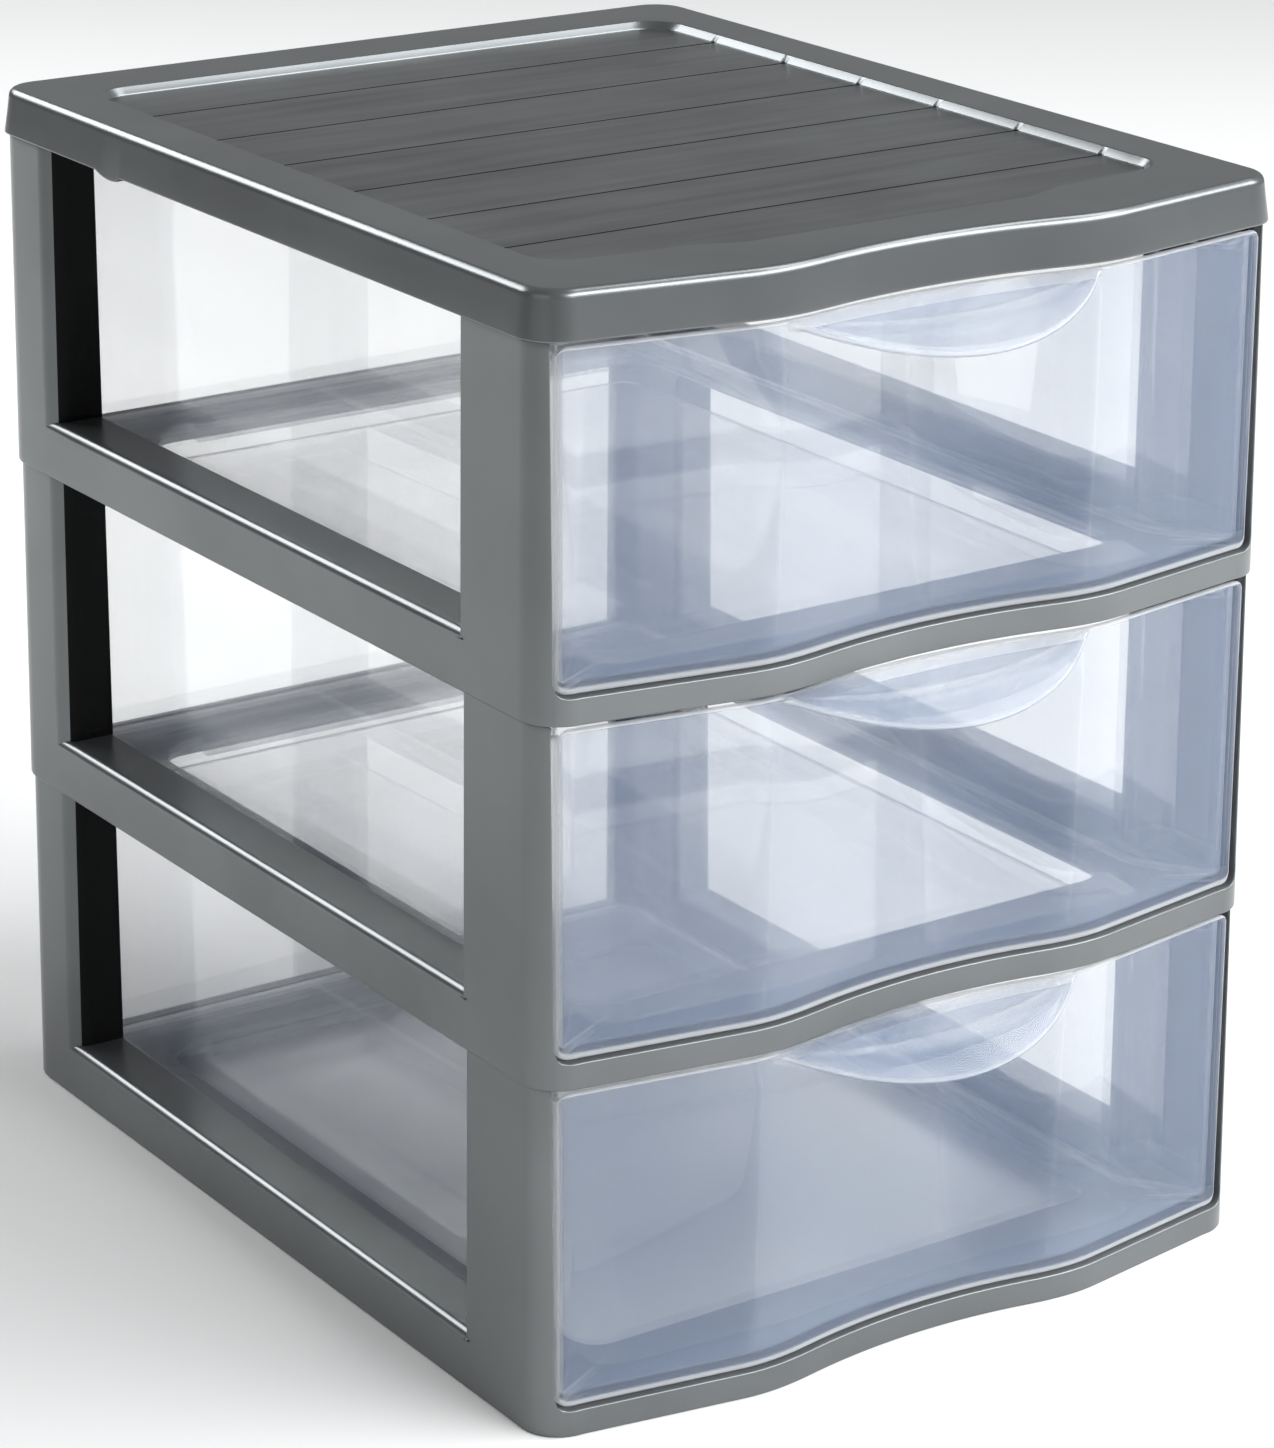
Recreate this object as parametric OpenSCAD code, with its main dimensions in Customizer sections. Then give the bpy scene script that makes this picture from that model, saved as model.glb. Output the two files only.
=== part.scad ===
// Desktop drawer tower: three equal frames stacked under a cover, each frame holding one clear drawer.
// Millimetres, +Z up, drawers open toward -Y. The tower stands on z = 0, centred on the Z axis.

/* [Tower] */
// Width of the cover over its top edges
tower_w = 190; // [170:1:260]
// Depth of the cover over its top edges, without the bowed front
tower_d = 236; // [210:1:320]
// Height of one frame, from its foot to the foot of the next
tier_pitch = 80; // [70:1:120]
// Height of the cover, skirt included
cover_h = 10.5; // [9:0.5:16]

/* [Bowed front] */
// Radius of the four upright corners
corner_r = 8.5; // [6:0.5:12]
// Distance of each crest from the middle plane
crest_x = 40; // [30:1:55]
// How far the crests stand in front of the corners
crest_out = 7.5; // [4:0.5:12]
// Depth of the hollow between the crests
hollow_sag = 5.3; // [2:0.1:8]
// How much the crests are blunted
crest_soft = 0.8; // [0.4:0.1:2]

/* [Frames] */
// Wall thickness of frames and cover
wall = 2.2; // [1.6:0.1:3]
// How far the foot of a frame stands out past the cover's top edge
foot_flare = 1.2; // [1:0.1:2.5]
// How far the top of a post stands out past the cover's top edge
post_flare = 0.35; // [0:0.05:0.8]
// Height of the shelf above the frame's foot
shelf_z = 6; // [5.5:0.5:12]
// Height of the side ledges above the frame's foot
ledge_z = 13.5; // [12:0.5:25]
// Shelf and ledge thickness
plate_t = 2; // [1.5:0.1:3]
// Distance of the guide walls from the middle plane
guide_x = 83; // [81:0.5:86]
// Width of the rear posts, measured along the side
rear_post = 25; // [18:1:40]
// Width of the front posts, measured along the side
front_post = 30.5; // [26:0.5:45]
// Half the width of the front mouth
mouth_x = 92.3; // [92:0.1:93]

/* [Drawers] */
// Outer half width of the drawer's straight sides
tray_x = 80; // [74:0.5:81.5]
// Half width of the front plate
plate_x = 91.5; // [88:0.1:91.7]
// Wall thickness
tray_t = 1.8; // [1.2:0.1:2.5]
// Height of the side and rear walls above the frame's foot
tray_top = 74; // [50:1:76]
// Height of the front plate's top edge above the frame's foot
front_top = 78.6; // [70:0.1:78.8]
// Play between drawer and shelf
lift = 0.3; // [0.3:0.1:1]
// Height of the raised middle of the drawer floor
floor_step = 1.5; // [0.8:0.1:3]
// How far the handle reaches in front of the crests
lip_out = 16; // [10:0.5:22]
// How far the handle's outer edge lies below the plate's top edge
lip_drop = 7.7; // [4:0.1:10]

/* [Cover] */
// Depth of the tray in the top of the cover
well_deep = 1.8; // [1:0.1:2.5]
// Half width of that tray
well_x = 79.5; // [60:0.5:84]
// Distance between its grooves
groove_gap = 30; // [15:1:45]

/* [Hidden] */
grey = [0.37, 0.38, 0.38];
clear = [0.78, 0.82, 0.90, 0.45];
hw = tower_w / 2;
hd = tower_d / 2;
side_grow = hw - 95;
win_front = -hd + front_post;
win_rear = hd - rear_post;
gx = guide_x + side_grow;
mx = mouth_x + side_grow;
tx = tray_x + side_grow;
px = plate_x + side_grow;
well_hx = well_x + side_grow;
stack_z = 3 * tier_pitch;
cover_z = stack_z + cover_h;
shelf_hole_front = -hd + 21;
shelf_hole_rear = hd - 25;
plate_skin = -0.3;
skirt_flare = 1.5;
mid_y = (crest_out - crest_soft / 4 + plate_skin + lip_out - skirt_flare) / 2;
// the core is straight: the skin outside it is drafted
core_o = (foot_flare + post_flare) / 2 - wall;

// ---- plan curves ------------------------------------------------------------------------------

function arc(cx, cy, r, a0, a1, n) =
    [for (i = [0:n]) [cx + r * cos(a0 + (a1 - a0) * i / n), cy + r * sin(a0 + (a1 - a0) * i / n)]];

// How far the front stands before the corner line: straight flanks up to a crest, an arc between the crests.
function bow(x) =
    let (flank = crest_out * (hw - corner_r - abs(x)) / (hw - corner_r - crest_x),
         r = (crest_x * crest_x + hollow_sag * hollow_sag) / (2 * hollow_sag),
         hollow = crest_out - hollow_sag + r - sqrt(max(r * r - x * x, 0)),
         blend = max(crest_soft - abs(flank - hollow), 0))
    min(flank, hollow) - blend * blend / (4 * crest_soft);

// Stations across the front, close together on the two crests.
half_stations = concat([for (i = [0:9]) (crest_x - 2.4) * i / 9],
                       [for (i = [1:8]) crest_x - 2.4 + 0.6 * i]);
stations = concat([for (i = [len(half_stations) - 1:-1:1]) -half_stations[i]], half_stations);

// The tower's outline, moved outward by o; counter-clockwise from the right rear corner.
function outline(o) = let (r = corner_r + o, cx = hw - corner_r, cy = hd - corner_r)
    concat(arc(cx, cy, r, 0, 90, 8), arc(-cx, cy, r, 90, 180, 8), arc(-cx, -cy, r, 180, 270, 8),
           [for (x = stations) [x, -hd - o - bow(x)]],
           arc(cx, -cy, r, 270, 360, 8));

// A rectangle with round corners.
function soft_box(x0, y0, x1, y1, r) =
    concat(arc(x1 - r, y1 - r, r, 0, 90, 6), arc(x0 + r, y1 - r, r, 90, 180, 6),
           arc(x0 + r, y0 + r, r, 180, 270, 6), arc(x1 - r, y0 + r, r, 270, 360, 6));

// Outward offset of a frame's drafted skin at height z.
function draft(z) = foot_flare + (post_flare - foot_flare) * z / tier_pitch;

// ---- solids from curves -----------------------------------------------------------------------

// Closed skin through plan curves of equal length; each level is [z, curve].
module loft(levels) {
    n = len(levels[0][1]);
    m = len(levels);
    polyhedron(
        points = [for (l = levels) for (p = l[1]) [p[0], p[1], l[0]]],
        faces = concat(
            [[for (i = [0:n - 1]) i]],
            [for (k = [0:m - 2]) for (i = [0:n - 1])
                [k * n + i, (k + 1) * n + i, (k + 1) * n + (i + 1) % n, k * n + (i + 1) % n]],
            [[for (i = [n - 1:-1:0]) (m - 1) * n + i]]),
        convexity = 8);
}

// Closed skin through cross sections of equal length, split into triangles because they twist.
module ribbon(sections) {
    n = len(sections[0]);
    m = len(sections);
    polyhedron(
        points = [for (s = sections) for (p = s) p],
        faces = concat(
            [[for (i = [0:n - 1]) i]],
            [for (k = [0:m - 2]) for (i = [0:n - 1]) [k * n + i, (k + 1) * n + i, k * n + (i + 1) % n]],
            [for (k = [0:m - 2]) for (i = [0:n - 1])
                [k * n + (i + 1) % n, (k + 1) * n + i, (k + 1) * n + (i + 1) % n]],
            [[for (i = [n - 1:-1:0]) (m - 1) * n + i]]),
        convexity = 8);
}

module slab(z0, z1, points) {
    translate([0, 0, z0])
        linear_extrude(height = z1 - z0, convexity = 6)
            polygon(points);
}

module block(low, high) {
    translate(low)
        cube(high - low);
}

module both_sides() {
    children();
    mirror([1, 0, 0])
        children();
}

// ---- frame ------------------------------------------------------------------------------------

// Plan of a rear post's inner half: wing across the ledge, rounded window edge, lap inside the side wall.
function rear_wing_plan(o, t) =
    let (x = hw + o - 0.05)
    concat([[t > 0 ? 40 : gx - 1, win_rear + t]], arc(x - 5, win_rear + 5, 5 - t, -90, 0, 6),
           [[x - t, win_rear + 9], [t > 0 ? 40 : x - wall, win_rear + 9]]);

module rear_wing() {
    top = tier_pitch;
    difference() {
        loft([[ledge_z - 1, rear_wing_plan(draft(ledge_z), 0)], [top + 1, rear_wing_plan(draft(top + 1), 0)]]);
        slab(ledge_z - 2, top + 2, rear_wing_plan((draft(ledge_z) + draft(top)) / 2, wall));
        block([gx - 3, win_rear - 1, top], [hw + 9, hd, top + 9]);
        // the wing stops short of the frame above, its corner rounded off
        block([gx - 3, win_rear - 1, top - 1.9], [gx + 4.5, win_rear + 10, top + 1]);
        difference() {
            block([gx - 3, win_rear - 1, top - 5.5], [gx + 2.4, win_rear + wall + 1, top]);
            translate([gx + 2.4, win_rear - 2, top - 5.3])
                rotate([-90, 0, 0])
                    cylinder(r = 3.4, h = wall + 4, $fn = 32);
        }
    }
}

// Drafted shell of a frame: an open-bottomed rim and the four posts, left standing where the sides, the mouth
// and the rear are cut away.
module frame_shell() {
    top = tier_pitch;
    difference() {
        loft([[-2, outline(draft(-2))], [top + 2, outline(draft(top + 2))]]);
        block([-hw - 9, -hd - 30, -9], [hw + 9, hd + 9, 0]);
        block([-hw - 9, -hd - 30, top], [hw + 9, hd + 9, top + 9]);
        slab(-3, top + 3, outline(core_o));
        // mouth of the drawer, its lower corners rounded
        translate([0, -hd + 20, 0])
            rotate([90, 0, 0])
                linear_extrude(height = 60)
                    polygon(concat([[mx, top + 3], [-mx, top + 3]],
                                   arc(-mx + 2.6, shelf_z + 2.6, 2.6, 180, 270, 6),
                                   arc(mx - 2.6, shelf_z + 2.6, 2.6, 270, 360, 6)));
        block([-gx + 5, 0, shelf_z], [gx - 5, hd + 20, top + 3]);
        block([-hw - 9, win_front, ledge_z], [hw + 9, win_rear + 5, top + 3]);
        // rounded outer edge of the ledges
        both_sides()
            translate([hw + draft(ledge_z) - 1.4, win_front, ledge_z - 1.4])
                difference() {
                    cube([3, win_rear + 5 - win_front, 3]);
                    rotate([-90, 0, 0])
                        cylinder(r = 1.4, h = win_rear + 5 - win_front, $fn = 48);
                }
    }
}

module shelf() {
    difference() {
        slab(shelf_z - plate_t, shelf_z, outline(core_o + 0.6));
        // the drawer's stop runs in this opening
        slab(-1, shelf_z + 1, soft_box(-71 - side_grow, shelf_hole_front, 71 + side_grow, shelf_hole_rear, 7));
        both_sides()
            block([gx + plate_t, win_front - wall, 0], [hw + 3, win_rear + wall, shelf_z + 1]);
    }
}

// Wing of a front post, running down to the shelf as the end wall of the ledge.
module front_wing() {
    block([gx, win_front - wall, shelf_z - plate_t],
          [hw + draft(tier_pitch) - 0.7, win_front, tier_pitch - 1.8]);
}

// Hollow ledge beside the drawer: guide wall, flat top, end wall below the rear wing, ribs.
module side_ledge() {
    in = hw + draft(ledge_z) - wall + 0.6;
    block([gx, win_front - wall, shelf_z - plate_t], [gx + plate_t, win_rear + wall, ledge_z]);
    block([gx, win_front - wall, ledge_z - plate_t], [in, win_rear + 8, ledge_z]);
    block([gx, win_rear, shelf_z - plate_t], [in, win_rear + wall, ledge_z]);
    // stiffening ribs under the ledge, one along it and five across
    block([gx + plate_t + 3.6, win_front - wall + 0.4, 1.5],
          [gx + plate_t + 5, win_rear + 0.4, ledge_z - plate_t + 0.3]);
    for (i = [1:5])
        translate([0, win_front + (win_rear - win_front) * i / 6 - 0.7, 0])
            block([gx + plate_t - 0.2, 0, 2], [in, 1.4, ledge_z - plate_t + 0.2]);
}

// Tongues on the post tops that drop into the foot of the frame above.
module stacking_tongues() {
    x1 = hw + core_o - 0.2;
    for (y = [[-hd + corner_r + 1.6, win_front - 4], [win_rear + 7, hd - corner_r - 1.6]]) {
        block([x1 - 2.2, y[0], tier_pitch - 8], [x1 + 0.8, y[1], tier_pitch - 0.5]);
        block([x1 - 2.2, y[0], tier_pitch - 8], [x1, y[1], tier_pitch + 3.4]);
    }
}

module frame_moulding() {
    color(grey) {
        frame_shell();
        shelf();
        both_sides() {
            side_ledge();
            rear_wing();
            front_wing();
            stacking_tongues();
        }
    }
}

// ---- cover ------------------------------------------------------------------------------------

// Front edge of the tray in the cover: a loose echo of the bowed front.
function well_front(x) = -hd + 21.5 - 2.2 * min(1, (well_hx - abs(x)) / (well_hx - 50))
                         - 4.3 * (1 - cos(180 * min(1, max(0, (50 - abs(x)) / 15)))) / 2;

function well_plan(grow) =
    let (x = well_hx + grow, y = hd - 20 + grow, r = 8 + grow)
    concat(arc(x - r, y - r, r, 0, 90, 8), arc(-x + r, y - r, r, 90, 180, 8),
           arc(-x + r, well_front(well_hx) - grow + r, r, 180, 265, 8),
           [for (i = [-9:9]) [i * 7, well_front(i * 7) - grow]],
           arc(x - r, well_front(well_hx) - grow + r, r, 275, 360, 8));

// Small rounded lug on the skirt's lower edge, over each side window: long slope to the rear, short to the front.
module skirt_lug() {
    translate([hw + skirt_flare - wall + 0.1, 0, 0])
        rotate([90, 0, 90])
            linear_extrude(height = wall - 0.3)
                polygon([for (i = [-10:10])
                    [win_rear - 32 + 0.56 * i - 1.2 * (1 - i * i / 100),
                     stack_z + 0.1 - 1.3 * max(0, cos(9 * i)) ^ 0.6]]);
}

module cover_moulding() {
    floor_z = cover_z - well_deep;
    color(grey)
        both_sides()
            skirt_lug();
    color(grey)
        difference() {
            loft([[stack_z, outline(skirt_flare)], [cover_z - 1.2, outline(0.15)],
                  [cover_z - 0.45, outline(-0.2)], [cover_z, outline(-1.05)]]);
            difference() {
                loft([[stack_z - 1, outline(skirt_flare + 0.1 - wall)],
                      [cover_z - plate_t, outline(0.3 - wall)]]);
                slab(floor_z - plate_t, cover_z, well_plan(plate_t));
            }
            slab(floor_z, cover_z + 1, well_plan(0));
            // grooves parting the tray into planks, notched into its right-hand wall
            for (y = [hd - 44:-groove_gap:-hd + 34]) {
                block([-well_hx - 0.5, y - 0.45, floor_z - 0.5], [well_hx + 0.5, y + 0.45, cover_z - 1]);
                block([well_hx - 0.5, y - 0.8, floor_z - 0.2], [well_hx + 1.1, y + 0.8, cover_z + 1]);
            }
        }
}

// ---- drawer -----------------------------------------------------------------------------------

shoulder_y = -hd + 25;
plate_r = corner_r + plate_skin;
plate_a = acos((px - hw + corner_r) / plate_r);
plate_end_y = -hd + corner_r - plate_r * sin(plate_a);

// Shoulder between the narrow side and the wide front, moved inward by t along its normal; s runs 0 to 1.
function shoulder(s, t) =
    let (rise = (px - tx) * (1 - cos(180 * s)) / 2, len_y = shoulder_y - plate_end_y,
         dx = (px - tx) * PI / 2 * sin(180 * s), l = sqrt(dx * dx + len_y * len_y))
    [tx + rise - t * len_y / l, shoulder_y - len_y * s - t * dx / l];

function front_face(t) =
    concat([for (p = arc(-hw + corner_r, -hd + corner_r, plate_r, 180 + plate_a, 270, 5)) [p[0], p[1] + t]],
           [for (x = stations) [x, -hd - plate_skin - bow(x) + t]],
           [for (p = arc(hw - corner_r, -hd + corner_r, plate_r, 270, 360 - plate_a, 5)) [p[0], p[1] + t]]);

function flip(points) = [for (i = [len(points) - 1:-1:0]) [-points[i][0], points[i][1]]];

function tray_plan(t) =
    let (last = 1 - t / (shoulder_y - plate_end_y), right = [for (i = [12:-1:0]) shoulder(last * i / 12, t)])
    concat(right, arc(tx - 6, hd - 13, 6 - t, 0, 90, 6), arc(-tx + 6, hd - 13, 6 - t, 90, 180, 6), flip(right),
           [for (p = front_face(t)) if (abs(p[0]) < px - t - 0.3) p]);

module front_plate() {
    intersection() {
        slab(shelf_z, front_top,
             concat(front_face(0), [for (i = [len(front_face(2)) - 1:-1:0]) front_face(2)[i]]));
        front_outline(shelf_z + 1, front_top, 2.2, 1.6);
    }
}

// One cross section of the handle at x: rim band, trough, bead, apron, outer edge and back along the underside.
// Past the crests it shrinks and sinks into the plate.
function lip_section(x) =
    let (u = x / crest_x, w = max(0.03, 1 - u * u), face = -hd - plate_skin - bow(x),
         crest = abs(u) < 1 ? -hd - plate_skin - bow(crest_x) : face,
         r = (crest_x * crest_x + lip_out * lip_out) / (2 * lip_out),
         out = max(0.03 * lip_out, sqrt(max(0, r * r - x * x)) - r + lip_out),
         sink = 0.9 * min(1, max(0, (abs(x) - crest_x + 4) / 4)),
         f = face + sink, b = crest - 0.34 * lip_out * w + sink, e = crest - out + sink,
         d = f - b, m = b - 0.4 * (b - e),
         top = front_top - 0.05, zb = top - 0.35 * lip_drop * w, ze = top - lip_drop * w,
         zm = zb - 0.35 * (zb - ze))
    [[x, face + 1.5, top], [x, f - 0.25 * d, top - 0.1 * w], [x, f - 0.6 * d, zb - 0.5 * w],
     [x, b + 0.12 * d, zb - 0.3 * w], [x, b, zb], [x, m, zm],
     [x, e + 0.7 * w, ze], [x, e, ze - 0.7], [x, e + 0.6 * w, ze - 1.5],
     [x, m + 0.4 * w, zm - 1.8], [x, b + 0.1 * d, zb - 2.1],
     [x, f - 0.6 * d, zb - 0.5 * w - 2.1], [x, f - 0.2 * d, top - 2.3], [x, face + 1.5, top - 2.4]];

module crescent_handle() {
    ribbon([for (i = [-20:20]) lip_section((crest_x + 1.5) * sin(90 * i / 20))]);
}

// Silhouette of the drawer seen from the front, its lower corners rounded clear of the mouth's corners.
module front_outline(z0, z1, low_r, high_r) {
    rotate([90, 0, 0])
        linear_extrude(height = 2 * hd + 90, center = true)
            polygon(concat(arc(px - high_r, z1 - high_r, high_r, 0, 90, 6),
                           arc(-px + high_r, z1 - high_r, high_r, 90, 180, 6),
                           arc(-px + low_r, z0 + low_r, low_r, 180, 270, 6),
                           arc(px - low_r, z0 + low_r, low_r, 270, 360, 6)));
}

module tray_body() {
    z0 = shelf_z + lift;
    z1 = z0 + 1.6;
    x1 = tx - 12;
    x2 = tx - 14;
    difference() {
        union() {
            difference() {
                intersection() {
                    slab(z0, tray_top, tray_plan(0));
                    front_outline(z0, front_top, 2.6, 1.6);
                }
                slab(z1, tray_top + 1, tray_plan(tray_t));
            }
            loft([[z1 - 0.4, soft_box(-x1 - 0.6, -hd + 15.4, x1 + 0.6, hd - 14.4, 8)],
                  [z1 + floor_step, soft_box(-x2, -hd + 18, x2, hd - 17, 6)]]);
        }
        // underside follows the raised middle, so the floor keeps one thickness
        loft([[z0 - 1, soft_box(-x1 - 0.6, -hd + 15.4, x1 + 0.6, hd - 14.4, 8)],
              [z0, soft_box(-x1, -hd + 16, x1, hd - 15, 8)],
              [z0 + floor_step, soft_box(-x2, -hd + 18, x2, hd - 17, 6)]]);
    }
}

module drawer_moulding() {
    color(clear) {
        tray_body();
        front_plate();
        crescent_handle();
        // stop below the floor, reaching into the shelf opening
        block([-60, shelf_hole_rear - 5, shelf_z - 1.4],
              [60, shelf_hole_rear - 2.6, shelf_z + lift + floor_step + 0.5]);
    }
}

// ---- the seven mouldings in place ---------------------------------------------------------------

module on_tier(i) {
    translate([0, mid_y, i * tier_pitch])
        children();
}

module lower_frame() { on_tier(0) frame_moulding(); }
module middle_frame() { on_tier(1) frame_moulding(); }
module upper_frame() { on_tier(2) frame_moulding(); }
module lower_drawer() { on_tier(0) drawer_moulding(); }
module middle_drawer() { on_tier(1) drawer_moulding(); }
module upper_drawer() { on_tier(2) drawer_moulding(); }
module top_cover() { on_tier(0) cover_moulding(); }

top_cover();
upper_frame();
middle_frame();
lower_frame();
upper_drawer();
middle_drawer();
lower_drawer();
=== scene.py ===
"""Desktop drawer tower: moulded grey polypropylene frames and cover, clear polypropylene drawers.

Lengths in the shape functions are millimetres in the tower's own frame: x to the right, y to the rear, z up,
with y = 0 in the middle of the frames. Y_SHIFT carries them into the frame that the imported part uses.
"""
import math

import bpy
import numpy as np
from bpy.props import FloatProperty, FloatVectorProperty, IntProperty, PointerProperty
from mathutils import Euler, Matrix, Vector


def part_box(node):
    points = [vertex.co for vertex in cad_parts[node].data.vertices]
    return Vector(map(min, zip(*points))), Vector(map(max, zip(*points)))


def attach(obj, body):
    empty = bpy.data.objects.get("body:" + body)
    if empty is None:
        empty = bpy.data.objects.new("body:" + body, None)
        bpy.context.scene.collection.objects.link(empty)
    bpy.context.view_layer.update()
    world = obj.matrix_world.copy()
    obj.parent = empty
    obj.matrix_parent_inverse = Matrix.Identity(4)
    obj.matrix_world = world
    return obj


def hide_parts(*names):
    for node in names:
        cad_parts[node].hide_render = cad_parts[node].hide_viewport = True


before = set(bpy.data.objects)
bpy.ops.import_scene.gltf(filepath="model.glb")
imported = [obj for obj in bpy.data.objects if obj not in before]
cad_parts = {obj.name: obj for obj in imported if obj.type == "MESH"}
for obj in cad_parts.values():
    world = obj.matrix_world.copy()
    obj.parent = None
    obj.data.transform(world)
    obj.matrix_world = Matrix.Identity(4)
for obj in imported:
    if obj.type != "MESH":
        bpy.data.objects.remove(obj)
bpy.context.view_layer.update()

bl_info = {
    "name": "Drawer tower",
    "version": (1, 0, 0),
    "blender": (4, 5, 0),
    "location": "3D View > Sidebar > Drawer tower",
    "description": "Builds a desktop tower of open plastic frames with clear pull-out drawers",
    "category": "Add Mesh",
}

MM = 1000  # millimetres in a metre
COVER_HIGH = np.array(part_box("top_cover")[1]) * MM  # highest corner of the solid cover

# Main sizes, shared with the solids
SKIRT_FLARE = 1.5  # how far the skirt's lower edge stands out from the cover's top edge
HW = COVER_HIGH[0] - SKIRT_FLARE  # half the width over the cover's top edges
HD = 118.0  # half the depth over the cover's top edges, without the bowed front
Y_SHIFT = COVER_HIGH[1] - SKIRT_FLARE - HD
CORNER = 8.5  # radius of the upright corners
CX, CY = HW - CORNER, HD - CORNER  # middle of the right rear corner's curve
PITCH = 80.0  # height of one frame
COVER_Z, STACK_Z = COVER_HIGH[2], 3 * PITCH  # tops of the cover and of the uppermost frame
CREST_X, CREST_OUT = 40.0, 7.5  # place of the bowed front's crests, and how far they stand out
HOLLOW, CREST_SOFT = 5.3, 4.0  # depth of the hollow between the crests, and measure of their rounding
FOOT_FLARE, POST_FLARE = 1.2, 0.35  # outward offset of a frame's skin at its foot and at its post tops
CORE = -1.425  # offset of a frame's inner face
WIN_FRONT, WIN_REAR = -87.5, 93.0  # window in a frame's side
WIN_ROUND, WING = 5.0, 2.2  # rounding of the window's rear edge, thickness of the posts' wings
MOUTH_X, GUIDE_X = 92.3, 83.0  # half widths of the drawer's mouth and between the guide walls
SHELF_Z, LEDGE_Z, PLATE = 6.0, 13.5, 2.0  # tops of shelf and side ledges, thickness of the cover's plate
RAIL_Z, RAIL_R = 11.5, 2.0  # where a side ledge's rounded edge begins, and its radius
TRAY_X, PLATE_X = 80.0, 91.5  # half widths of the drawer's tray and of its front plate
TRAY_Z, TRAY_TOP, FRONT_TOP = 6.3, 74.0, 78.6  # underside of the drawer, tops of its walls and of its plate
TRAY_WALL, PLATE_ROUND = 1.8, 2.6  # thickness of the drawer's walls, rounding of its front plate's corners
PANEL_RISE = 1.5  # how far the middle of the drawer's floor is raised
LIP_OUT, LIP_DROP = 16.8, 7.7  # reach of the handle's lip, and how far it hangs
WELL_X, WELL_R, WELL_DEEP = 79.5, 8.0, 1.8  # half width, corner radius and depth of the cover's tray
WELL_REAR = HD - 20  # rear edge of the cover's tray
BORDER_UNDER, WELL_UNDER = 248.5, 246.75  # undersides of the cover's border and of its tray
GROOVE_GAP, GROOVE_HALF = 30.0, 0.35  # from one groove between the planks to the next, half a groove's width
NOTCH_HALF, NOTCH_DEEP = 0.65, 0.45  # notch of a groove in the tray's right wall
BORDER_R, BRIM_R = 2, 0.6  # rounding of the border's outer edge and of its edge at the tray
LUG_Y, LUG_HALF, LUG_LEAN, LUG_DROP, LUG_POWER = 61.0, 5.6, 1.2, 1.3, 0.6  # lug on the skirt's lower edge
OPEN_FRONT, OPEN_REAR, OPEN_X, OPEN_R = -97, 93, 71, 7  # opening in a shelf, and the radius of its corners
PAINTED_SHADE_SIDE, PAINTED_SHADE_END, PAINTED_SHADE_UP = 1.3, 8.0, 0.5  # from the skin, the ends and a ledge to the faces that get painted shade
WELD = 2000  # steps in a millimetre to which points are rounded when they are welded

TIERS = ("lower", "middle", "upper")


def linear(code):
    """An sRGB hex colour as linear red, green and blue."""
    c = np.array([int(code[i : i + 2], 16) for i in (1, 3, 5)]) / 255
    return tuple(np.where(c <= 0.04045, c / 12.92, ((c + 0.055) / 1.055) ** 2.4))


# ---- curves in plan -------------------------------------------------------------------------------


def bow(x):
    """How far the front stands before the line of the corners: straight flanks rise to a crest at CREST_X, and
    between the crests runs a hollow circular arc. Where the two lines meet, they are blended by the square of
    what is left of CREST_SOFT."""
    x = np.abs(x)
    flank = CREST_OUT * (CX - x) / (CX - CREST_X)
    r = (CREST_X**2 + HOLLOW**2) / (2 * HOLLOW)
    hollow = CREST_OUT - HOLLOW + r - np.sqrt(np.maximum(r * r - x * x, 0))
    blend = np.maximum(CREST_SOFT - np.abs(flank - hollow), 0)
    return np.minimum(flank, hollow) - blend**2 / (4 * CREST_SOFT)


# columns that all outlines share: x along the front, close together over a crest, x on the front corner up to the
# mouth's edge, steps from there to the side, and angles round a rear corner
FRONT_X = np.concatenate([np.linspace(0, 28, 10), np.linspace(30, 50, 21), np.linspace(56, 80, 5), [84.0, CX]])
MOUTH_CORNER = np.array([87.0, 88.3, 89.7, 91.0, 91.95, MOUTH_X])
CORNER_STEPS = 6
REAR_TURN = np.arange(1, 9) * np.pi / 16
MOUTH_COLS = len(FRONT_X) + len(MOUTH_CORNER)
SIDE_COL = MOUTH_COLS + CORNER_STEPS


def half_outline(o, side_y, rear_x):
    """Right half of the tower's outline from the middle of the front to the middle of the rear, moved outward by o,
    one row per row of o. Columns: front by x with the bow, the front corner's circle of radius CORNER + o by x up
    to the mouth's edge and by angle after it, the side by y, the rear corner by angle, the rear by x."""
    xf = np.concatenate([FRONT_X, MOUTH_CORNER])
    circle = np.sqrt(np.maximum((CORNER + o[:, :MOUTH_COLS]) ** 2 - np.maximum(xf - CX, 0) ** 2, 0))
    standing = np.where(xf < CX, bow(np.minimum(xf, CX)), 0)
    front = np.stack([xf + 0 * circle, -CY - circle - standing], -1)
    r = CORNER + o[:, MOUTH_COLS:SIDE_COL]
    angle = np.arccos((MOUTH_X - CX) / r) * (1 - np.arange(1, CORNER_STEPS + 1) / CORNER_STEPS)
    corner = np.stack([CX + r * np.cos(angle), -CY - r * np.sin(angle)], -1)
    turn_col = SIDE_COL + len(side_y)
    rear_col = turn_col + len(REAR_TURN)
    side = np.stack([HW + o[:, SIDE_COL:turn_col], side_y + 0 * o[:, SIDE_COL:turn_col]], -1)
    r = CORNER + o[:, turn_col:rear_col]
    rear_corner = np.stack([CX + r * np.cos(REAR_TURN), CY + r * np.sin(REAR_TURN)], -1)
    rear = np.stack([rear_x + 0 * o[:, rear_col:], HD + o[:, rear_col:]], -1)
    return np.concatenate([front, corner, side, rear_corner, rear], 1)


def around(half, other=None):
    """Closed loop from a right half and, mirrored, the same or another half: both end on the middle plane."""
    other = half if other is None else other
    turned = other[:, -2:0:-1] * np.array([-1, 1, 1, 1][: half.shape[-1]])
    return np.concatenate([half, turned], 1)


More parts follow.
